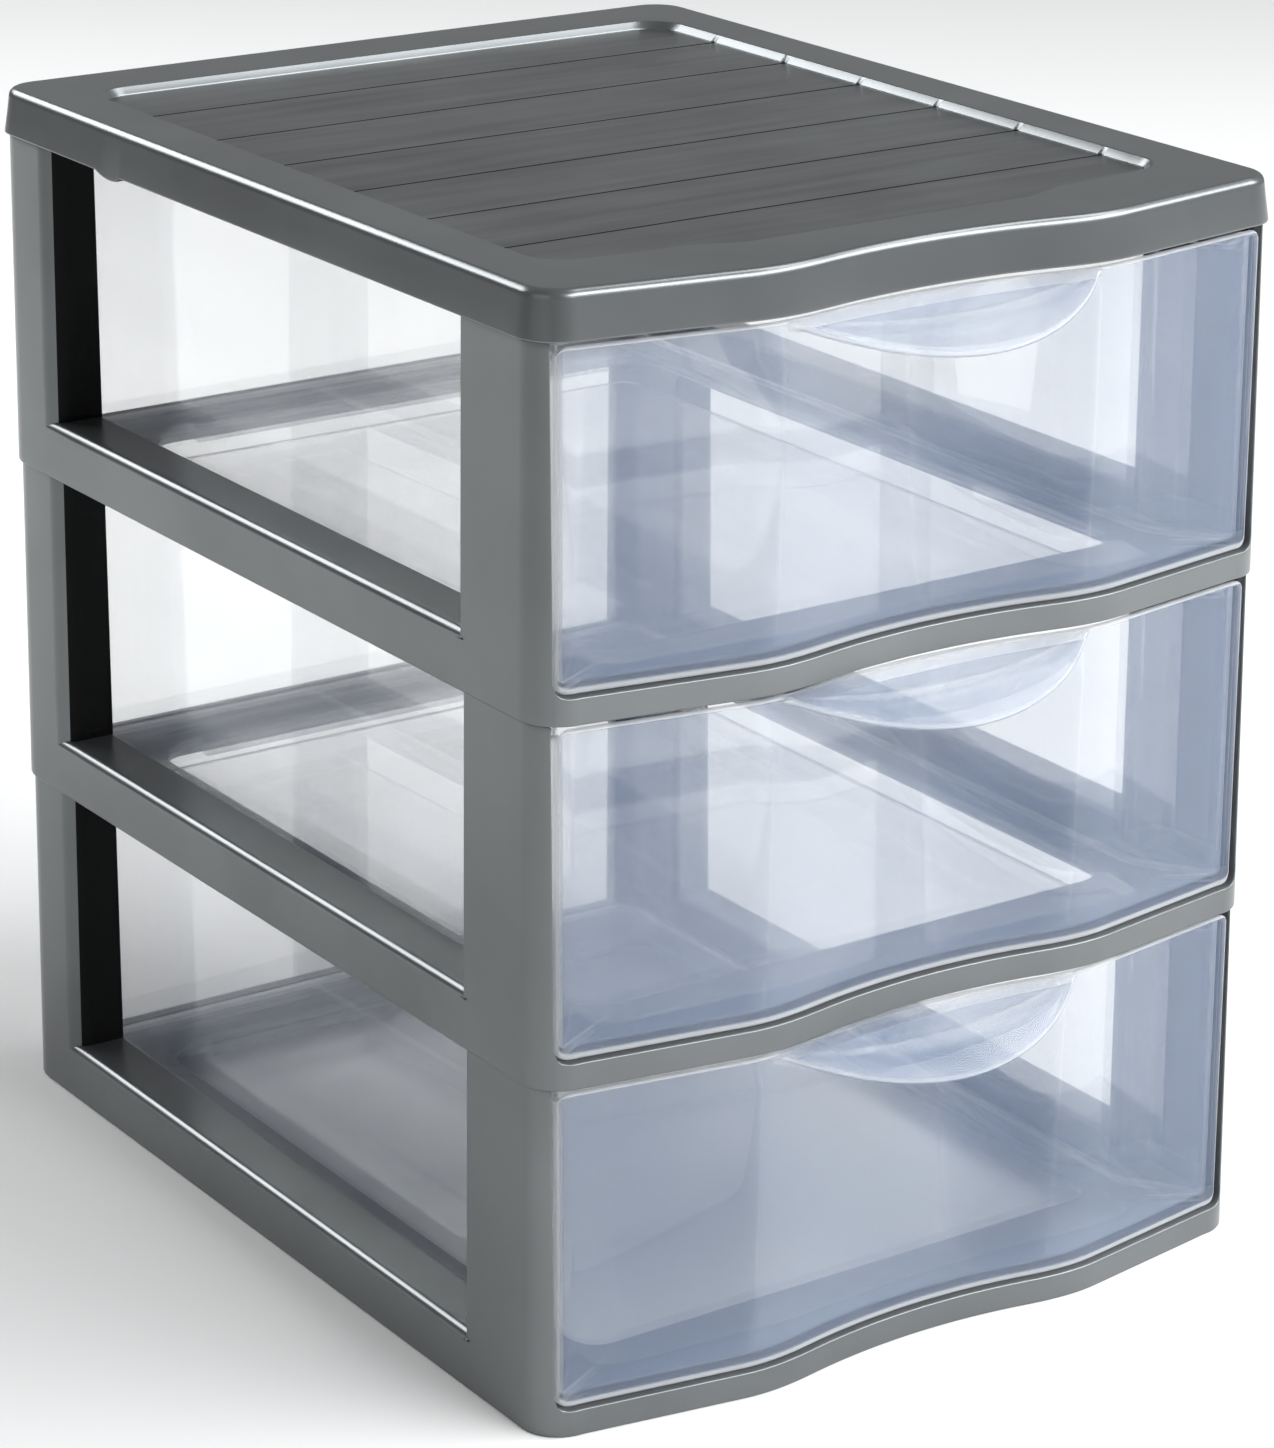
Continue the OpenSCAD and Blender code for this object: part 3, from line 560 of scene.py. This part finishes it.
def drawer_moulding():
    """Drawer as one closed surface: rows run from the middle of the floor's underside out to the walls, up the
    outer face, over the rim (which carries the handle in front), down the inner face and in to the floor's middle.
    The floor's middle is raised, and the front plate is higher than the other walls."""
    a = np.radians([0, 30, 60, 90])
    foot = 0.6  # radius of the lower edge
    edge = tray_half(np.concatenate([[2.0], foot * (1 - np.sin(a))]))
    low = drawer_low(edge[..., 0]) + np.concatenate([[0], foot * (1 - np.cos(a))])[:, None]
    plan = edge[-1]
    n, n_arc = len(plan), len(FRONT_X) + len(PLATE_TURN)
    top = np.full(n, TRAY_TOP)
    past = np.clip(plan[:n_arc, 0] - PLATE_X + PLATE_ROUND, 0, 2.55)
    top[:n_arc] = FRONT_TOP - PLATE_ROUND + np.sqrt(PLATE_ROUND**2 - past**2)
    fall = smooth(np.clip(1 - (1 - SHOULDER_S) * 3.2, 0, 1))
    top[n_arc : n_arc + len(SHOULDER_S)] += (top[n_arc - 1] - TRAY_TOP) * fall
    start = low[-1]
    wall_z = start + np.array([0.5, 1.1, 0, 0, 0])[:, None]
    wall_z[2:] += (top - RIM_DEEP - start) * np.array([0.35, 0.65, 0.9])[:, None]
    wall = np.repeat(plan[None], len(wall_z), 0)
    rim = tray_half(RIM[:, 0])
    rim_z = top + RIM[:, 1:]
    k = np.flatnonzero(FRONT_X < HANDLE_END + 0.1)
    share = smooth(np.clip((HANDLE_END - FRONT_X[k]) / HANDLE_FADE, 0, 1))
    y, z = handle_section(FRONT_X[k])
    rim[:, k, 1] += (y - rim[:, k, 1]) * share
    rim_z[:, k] += (z - rim_z[:, k]) * share
    inner = tray_half([TRAY_WALL] * 4 + [2.0, 2.55, 3.3])
    flat = np.zeros((1, n))
    floor = TRAY_Z + FLOOR_THICK
    levels = np.array([50, 20, floor + 1.5, floor + 0.72, floor + 0.2, floor])[:, None]
    inner_z = np.concatenate([top - 8 + flat, levels + flat])
    outer_panel, inner_panel = panel_half(68, -102, 103, 8), panel_half(66, -100, 101, 6)
    pole = np.zeros((1, n, 2))
    plan_rows = [pole, inner_panel, outer_panel, edge, wall, rim, inner, outer_panel, inner_panel, pole]
    z_rows = [flat + TRAY_Z + PANEL_RISE, flat + TRAY_Z + PANEL_RISE, flat + TRAY_Z, low, wall_z, rim_z, inner_z,
              flat + floor, flat + floor + PANEL_RISE, flat + floor + PANEL_RISE]
    # where the wall gets a painted highlight for the light it gathers: lower edge, upper rim, the plate's side edges,
    # the handle's bead and outer edge
    band = np.where(RIM[:, 1:] > -0.5, 1.0, 0) + flat
    band[:, k] += (HANDLE_PAINTED_GLOW - band[:, k]) * share
    foot_glow, wall_glow, inner_glow = ([0.2, 1, 1, 1, 1], [1, 0, 0, 0, 0], [0, 0, 0, 0, 0.15, 0, 0])
    painted_glow = [np.zeros((3, n)), *(np.array(g)[:, None] + flat for g in (foot_glow, wall_glow)), band,
            np.array(inner_glow)[:, None] + flat, np.zeros((3, n))]
    painted_glow = np.concatenate(painted_glow)
    painted_glow[3:-3, n_arc - 1 : n_arc + 1] = 0.9
    rows = np.concatenate([np.concatenate(plan_rows), np.concatenate(z_rows)[..., None], painted_glow[..., None]], -1)
    rows = around(rows)
    body = (rows.reshape(-1, 4), grid(*rows.shape[:2], closed=True).reshape(-1, 4))
    points, quads = box((-60, WIN_REAR - 5, 4.6), (60, WIN_REAR - 2.6, 8.3))
    # the stop carries a faint painted highlight
    stop = (np.concatenate([points, np.full((len(points), 1), 0.2)], 1), quads)
    return merge([body, stop])


# ---- finishes -------------------------------------------------------------------------------------


def add(tree, kind, inputs=(), **settings):
    """Adds one node, sets its settings, and sets or links its inputs by name."""
    node = tree.nodes.new(kind)
    for key, value in settings.items():
        setattr(node, key, value)
    for key, value in dict(inputs).items():
        if isinstance(value, bpy.types.NodeSocket):
            tree.links.new(value, node.inputs[key])
        else:
            node.inputs[key].default_value = value
    return node


PLANK_SHADE, WING_PAINTED_SHADE, GROOVE_SHADE = 0.72, 0.05, 0.25  # darker parts as a share of the tone beside them: the planks, the painted shade of wings and post insides, the painted shade in the grooves
FLOW_SIZE, STREAK_LEN, STREAK_WIDE, RIPPLE_SIZE, MOTTLE_SIZE = 0.045, 0.06, 0.004, 0.03, 0.2  # patterns, in metres
TONE_SPREAD, STREAK_SPREAD = 0.08, 0.3  # how far the grey tones lie from their mean
FRONT_HAZE_Y = -112.0, -107.0  # between these the haze of the front plate fades out toward the rear
PASSING = 0.8  # share of the light through a clear wall that isn't bent
PAINTED_EDGE_SHARE, THROUGH_EDGE = 0.5, 0.35  # share of the painted highlight in an edge, and how much of it shines through
PLASTIC_IOR = 1.49  # how strongly the plastics bend light


def new_material(name):
    """An empty node material with its output."""
    material = bpy.data.materials.new(name)
    material.use_nodes = True
    material.node_tree.nodes.clear()
    return material, material.node_tree, add(material.node_tree, "ShaderNodeOutputMaterial")


def grey_polypropylene(look, name):
    """Injection-moulded polypropylene with fine metallic pigment: a satin mid grey whose faces mirror the studio
    softly and whose rounded edges carry bright lines. The cover's planks are a little darker. They also carry
    streaks along x, 4 mm wide and 60 mm long, where the pigment flowed, and are darker in their grooves, where
    light hardly enters."""
    material, tree, output = new_material(name)
    planks = name.endswith("planks")
    at = add(tree, "ShaderNodeTexCoord").outputs["Object"]
    flow = add(tree, "ShaderNodeTexNoise", {"Vector": at, "Scale": 1 / FLOW_SIZE, "Detail": 3.0})
    tone, spread = flow.outputs["Fac"], TONE_SPREAD
    if planks:
        stretched = add(tree, "ShaderNodeMapping", {"Vector": at, "Scale": (1 / STREAK_LEN, 1 / STREAK_WIDE, 1.0)})
        streak = add(tree, "ShaderNodeTexNoise", {"Vector": stretched.outputs["Vector"], "Scale": 1.0, "Detail": 4.0})
        both = add(tree, "ShaderNodeMath", {0: tone, 1: streak.outputs["Fac"]}, operation="ADD").outputs[0]
        tone = add(tree, "ShaderNodeMath", {0: both, 1: 0.5}, operation="MULTIPLY").outputs[0]
        spread = STREAK_SPREAD
    ramp = add(tree, "ShaderNodeValToRGB", {"Fac": tone})
    base = np.array(look.grey) * (PLANK_SHADE if planks else 1)
    for stop, (place, gain) in zip(ramp.color_ramp.elements, ((0.35, 1 - spread), (0.65, 1 + spread))):
        stop.position, stop.color = place, (*(base * gain), 1)
    color = ramp.outputs["Color"]
    if planks:
        y = add(tree, "ShaderNodeSeparateXYZ", {"Vector": at}).outputs["Y"]
        away = add(tree, "ShaderNodeMath", {0: y, 1: -(GROOVES[0] + Y_SHIFT) / MM}, operation="ADD").outputs[0]
        near = add(tree, "ShaderNodeMath", {0: away, 1: GROOVE_GAP / 2 / MM}, operation="PINGPONG").outputs[0]
        shade = add(tree, "ShaderNodeMapRange", {"Value": near, "From Min": 0.0003, "From Max": 0.0006,
                                                 "To Min": GROOVE_SHADE, "To Max": 1.0})
        color = add(tree, "ShaderNodeVectorMath", {0: color, "Scale": shade.outputs["Result"]},
                    operation="SCALE").outputs["Vector"]
    shader = add(tree, "ShaderNodeBsdfPrincipled", {
        "Base Color": color, "Metallic": 0.6, "Roughness": look.grey_rough, "IOR": PLASTIC_IOR})
    tree.links.new(shader.outputs["BSDF"], output.inputs["Surface"])
    return material


def painted_shade_polypropylene(look, name):
    """Painted shade on the wings and inside the posts: the same grey, matt and nearly black, standing in for the
    deep shade there, so that these hollows look black beside the satin faces."""
    material, tree, output = new_material(name)
    shader = add(tree, "ShaderNodeBsdfPrincipled", {
        "Base Color": (*(np.array(look.grey) * WING_PAINTED_SHADE), 1), "Roughness": 0.75, "Specular IOR Level": 0.12})
    tree.links.new(shader.outputs["BSDF"], output.inputs["Surface"])
    return material


def clear_polypropylene(look, name):
    """Injection-moulded clarified polypropylene: see-through, glossy outside, with a bluish haze where light falls
    on it. Thin walls pass most of the light unbent; the rest is refracted, and the faint ripple of the mould, 30 mm
    wide, bends what is seen through it. The thicker front plate scatters more blue light and lets slightly warmer
    light pass. Edges and beads, marked by the attribute "rim", get a painted highlight: a whitish milky and
    translucent finish that stands for the light they gather from inside the wall."""
    material, tree, output = new_material(name)
    at = add(tree, "ShaderNodeTexCoord").outputs["Object"]
    ripple = add(tree, "ShaderNodeTexNoise", {"Vector": at, "Scale": 1 / RIPPLE_SIZE, "Detail": 1.0})
    bump = add(tree, "ShaderNodeBump", {"Height": ripple.outputs["Fac"], "Strength": 0.02, "Distance": 0.0004})
    y = add(tree, "ShaderNodeSeparateXYZ", {"Vector": at}).outputs["Y"]
    full, none = ((edge + Y_SHIFT) / MM for edge in FRONT_HAZE_Y)
    front = add(tree, "ShaderNodeMapRange", {"Value": y, "From Min": full, "From Max": none,
                                             "To Min": 1.0, "To Max": 0.0}).outputs["Result"]
    tint = add(tree, "ShaderNodeValToRGB", {"Fac": front})
    for stop, color in zip(tint.color_ramp.elements, (look.clear, look.front)):
        stop.color = (*color, 1)
    cloud = add(tree, "ShaderNodeMapRange", {"Value": front, "To Min": (1 - look.clarity) / 4,
                                             "To Max": 1 - look.clarity})
    wall = add(tree, "ShaderNodeBsdfPrincipled", {
        "Base Color": tint.outputs["Color"], "Roughness": 0.0, "IOR": PLASTIC_IOR,
        "Transmission Weight": 1.0, "Normal": bump.outputs["Normal"]})
    passing = add(tree, "ShaderNodeBsdfTransparent", {"Color": tint.outputs["Color"]})
    haze = add(tree, "ShaderNodeBsdfDiffuse", {"Color": (*look.haze, 1)})
    sheet_look = add(tree, "ShaderNodeMixShader", {
        0: PASSING, 1: wall.outputs["BSDF"], 2: passing.outputs["BSDF"]})
    hazed = add(tree, "ShaderNodeMixShader", {
        0: cloud.outputs["Result"], 1: sheet_look.outputs["Shader"], 2: haze.outputs["BSDF"]})
    # painted highlight: where "rim" is set, a whitish milky and translucent finish is mixed in
    rim = add(tree, "ShaderNodeAttribute", attribute_name="rim")
    share = add(tree, "ShaderNodeMath", {0: rim.outputs["Fac"], 1: PAINTED_EDGE_SHARE}, operation="MULTIPLY")
    white = add(tree, "ShaderNodeBsdfTranslucent", {"Color": (*look.clear, 1)})
    milky = add(tree, "ShaderNodeBsdfDiffuse", {"Color": (*look.clear, 1)})
    edge = add(tree, "ShaderNodeMixShader", {0: THROUGH_EDGE, 1: milky.outputs["BSDF"], 2: white.outputs["BSDF"]})
    whole = add(tree, "ShaderNodeMixShader", {
        0: share.outputs[0], 1: hazed.outputs["Shader"], 2: edge.outputs["Shader"]})
    tree.links.new(whole.outputs["Shader"], output.inputs["Surface"])
    return material


def floor_paper(look):
    """Matt pale studio floor: an even tone with a very slight mottle."""
    material, tree, output = new_material("matt_pale_floor")
    at = add(tree, "ShaderNodeTexCoord").outputs["Object"]
    mottle = add(tree, "ShaderNodeTexNoise", {"Vector": at, "Scale": 1 / MOTTLE_SIZE, "Detail": 2.0})
    ramp = add(tree, "ShaderNodeValToRGB", {"Fac": mottle.outputs["Fac"]})
    for stop, gain in zip(ramp.color_ramp.elements, (0.985, 1.0)):
        stop.color = (*(np.array(look.floor) * gain), 1)
    shader = add(tree, "ShaderNodeBsdfPrincipled", {"Base Color": ramp.outputs["Color"], "Roughness": 0.9})
    tree.links.new(shader.outputs["BSDF"], output.inputs["Surface"])
    return material


FINISHES = {
    "grey": ("moulded_grey_polypropylene", grey_polypropylene),
    "planks": ("moulded_grey_polypropylene_planks", grey_polypropylene),
    # painted shade for the wings and the posts' insides
    "painted_shade": ("moulded_grey_polypropylene_painted_shade", painted_shade_polypropylene),
    "clear": ("moulded_clear_polypropylene", clear_polypropylene),
}


def finish_of(context, finish):
    """The material of a finish, made once."""
    name, maker = FINISHES[finish]
    return bpy.data.materials.get(name) or maker(context.scene.tower_look, name)


# ---- properties, operators and panel --------------------------------------------------------------


class TowerSizes(bpy.types.PropertyGroup):
    """Sizes that a user would change."""

    edge: FloatProperty(name="Edge radius", description="Rounding of the frames' edges", default=0.0004,
                        min=0.0001, max=0.001, unit="LENGTH", precision=5)
    groove: FloatProperty(name="Groove depth", description="Depth of the grooves between the cover's planks",
                          default=0.0008, min=0.0001, max=0.0015, unit="LENGTH", precision=5)
    tiers: IntProperty(name="Frames", description="Number of frames with a drawer", default=3, min=1, max=3)


class TowerLook(bpy.types.PropertyGroup):
    """Colours and finish that a user would change."""

    grey: FloatVectorProperty(name="Frame colour", description="Colour of frames and cover", subtype="COLOR",
                              default=linear("#707374"), min=0, max=1)
    grey_rough: FloatProperty(name="Frame roughness", description="How satin the frames are", default=0.28,
                              min=0.1, max=1)
    clear: FloatVectorProperty(name="Drawer tint", description="Tint of the light that the drawers let pass",
                               subtype="COLOR", default=linear("#FDFDFD"), min=0, max=1)
    haze: FloatVectorProperty(name="Haze", description="Tint of the light that the drawers scatter", subtype="COLOR",
                              default=linear("#BCD4FF"), min=0, max=1)
    front: FloatVectorProperty(name="Front plate tint", description="Tint of the light that front plates let pass",
                               subtype="COLOR", default=linear("#FAF9F6"), min=0, max=1)
    clarity: FloatProperty(name="Clarity", description="Share of light that a front plate's face does not scatter",
                           default=0.90, min=0, max=1)
    floor: FloatVectorProperty(name="Floor colour", description="Colour of the floor", subtype="COLOR",
                               default=linear("#F7F7F6"), min=0, max=1)


# in metres: name, direction seen from the tower, distance, width, height, brightness of the softbox's face
SOFTBOXES = (
    ("key softbox", (0.52, -0.74, 0.66), 2.0, 2.4, 0.9, 10.0),
    ("rear softbox", (-0.26, 0.78, 0.50), 1.8, 1.2, 0.55, 8.5),
    ("high softbox", (0.50, -0.10, 0.82), 1.8, 0.7, 0.7, 7.0),
    ("left softbox", (-0.90, -0.25, 0.40), 2.0, 1.6, 1.2, 0.6),
    ("back wall", (0.62, 0.72, 0.30), 2.2, 1.8, 0.7, 0.15),
)
LIGHT_COLOR, LIGHT_AIM_Z = (0.97, 0.985, 1.0), 0.12  # of all softboxes, and the height that they aim at
ROOM_LIGHT = 0.12  # strength of the light from all round
FLOOR_HALF, FLOOR_Z = 3000, -0.05  # how far the floor reaches and its height, in millimetres
CAMERA_AT = (-0.56991, -0.84063, 0.47554)  # metres
CAMERA_TURN = (71.67456, -0.20512, -34.06219)  # degrees
LENS, SENSOR, LENS_SHIFT = 114.944, 36.0, (0.0, -0.08)  # millimetres; shift as a share of the picture's height


class TOWER_OT_stage(bpy.types.Operator):
    """Floor, soft lights and the camera"""

    bl_idname = "tower.stage"
    bl_label = "Stage"

    def execute(self, context):
        scene = context.scene
        corners = np.array([(-1, -1), (1, -1), (1, 1), (-1, 1)]) * FLOOR_HALF
        points = np.concatenate([corners, np.full((4, 1), FLOOR_Z)], 1)
        mesh = bpy.data.meshes.new("floor")
        mesh.from_pydata((points / MM).tolist(), [], [(0, 1, 2, 3)])
        mesh.materials.append(floor_paper(scene.tower_look))
        floor = bpy.data.objects.new("floor", mesh)
        scene.collection.objects.link(floor)

        world = bpy.data.worlds.new("soft room")
        world.use_nodes = True
        world.node_tree.nodes["Background"].inputs["Color"].default_value = (1, 1, 1, 1)
        world.node_tree.nodes["Background"].inputs["Strength"].default_value = ROOM_LIGHT
        scene.world = world
        scene.view_settings.view_transform = "Standard"
        for name, toward, far, wide, high, bright in SOFTBOXES:
            data = bpy.data.lights.new(name, "AREA")
            data.shape, data.size, data.size_y = "RECTANGLE", wide, high
            data.energy = bright * wide * high * math.pi
            data.color = LIGHT_COLOR
            lamp = bpy.data.objects.new(name, data)
            aim = Vector(toward).normalized()
            lamp.location = aim * far + Vector((0, 0, LIGHT_AIM_Z))
            lamp.rotation_euler = aim.to_track_quat("Z", "Y").to_euler()
            scene.collection.objects.link(lamp)

        data = bpy.data.cameras.new("camera")
        data.lens, data.sensor_width = LENS, SENSOR
        data.shift_x, data.shift_y = LENS_SHIFT
        data.clip_start, data.clip_end = 0.05, 20.0
        camera = bpy.data.objects.new("camera", data)
        camera.location = CAMERA_AT
        camera.rotation_euler = Euler([math.radians(t) for t in CAMERA_TURN])
        scene.collection.objects.link(camera)
        scene.camera = camera
        return {"FINISHED"}


class TOWER_OT_cover(bpy.types.Operator):
    """Cover with its skirt, border and planked tray"""

    bl_idname = "tower.cover"
    bl_label = "Cover"

    def execute(self, context):
        sizes = context.scene.tower_sizes
        rim = build("cover_rim", *cover_rim(), finish_of(context, "grey"), "tower")
        floor = cover_floor(sizes.groove * MM)
        planks = build("cover_planks", *floor, finish_of(context, "planks"), "tower", smooth=False)
        for piece in (rim, planks):
            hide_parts("top_cover")
        return {"FINISHED"}


class TOWER_OT_frames(bpy.types.Operator):
    """Stacked frames with shelf, ledges, posts and wings"""

    bl_idname = "tower.frames"
    bl_label = "Frames"

    def execute(self, context):
        sizes = context.scene.tower_sizes
        shell, inside = frame_shell(), frame_inside()
        for i, tier in enumerate(TIERS[: sizes.tiers]):
            up = np.array([0, 0, i * PITCH])
            for part, (points, quads), bevel in (("shell", shell, sizes.edge * MM), ("inside", inside, 0)):
                grey = finish_of(context, "grey")
                # the wings and the post insides get the painted shade
                hollow = finish_of(context, "painted_shade") if part == "shell" else None
                piece = build(f"{tier}_frame_{part}", points + up, quads, grey, "tower", bevel, hollow=hollow)
                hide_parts(f"{tier}_frame")
        return {"FINISHED"}


class TOWER_OT_drawers(bpy.types.Operator):
    """Clear drawers with bowed front and crescent handle"""

    bl_idname = "tower.drawers"
    bl_label = "Drawers"

    def execute(self, context):
        points, quads = drawer_moulding()
        for i, tier in enumerate(TIERS[: context.scene.tower_sizes.tiers]):
            up = np.array([0, 0, i * PITCH, 0])
            piece = build(f"{tier}_drawer_moulding", points + up, quads, finish_of(context, "clear"), f"{tier}_tray")
            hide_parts(f"{tier}_drawer")
        return {"FINISHED"}


class TOWER_PT_panel(bpy.types.Panel):
    """Lists the pieces of the tower and their settings"""

    bl_label = "Drawer tower"
    bl_idname = "TOWER_PT_panel"
    bl_space_type = "VIEW_3D"
    bl_region_type = "UI"
    bl_category = "Drawer tower"

    def draw(self, context):
        for group in (context.scene.tower_sizes, context.scene.tower_look):
            for name in group.__annotations__:
                self.layout.prop(group, name)
        for operator in STEPS:
            self.layout.operator(operator.bl_idname)


STEPS = (TOWER_OT_stage, TOWER_OT_cover, TOWER_OT_frames, TOWER_OT_drawers)
CLASSES = (TowerSizes, TowerLook, *STEPS, TOWER_PT_panel)


def register():
    """Registers the classes and puts the property groups on the scene."""
    for item in CLASSES:
        bpy.utils.register_class(item)
    bpy.types.Scene.tower_sizes = PointerProperty(type=TowerSizes)
    bpy.types.Scene.tower_look = PointerProperty(type=TowerLook)


def unregister():
    """Takes back what register did."""
    del bpy.types.Scene.tower_look
    del bpy.types.Scene.tower_sizes
    for item in reversed(CLASSES):
        bpy.utils.unregister_class(item)


def main():
    """Builds stage, cover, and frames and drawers."""
    register()
    bpy.ops.tower.stage()
    bpy.ops.tower.cover()
    bpy.ops.tower.frames()
    bpy.ops.tower.drawers()


if __name__ == "__main__":
    main()
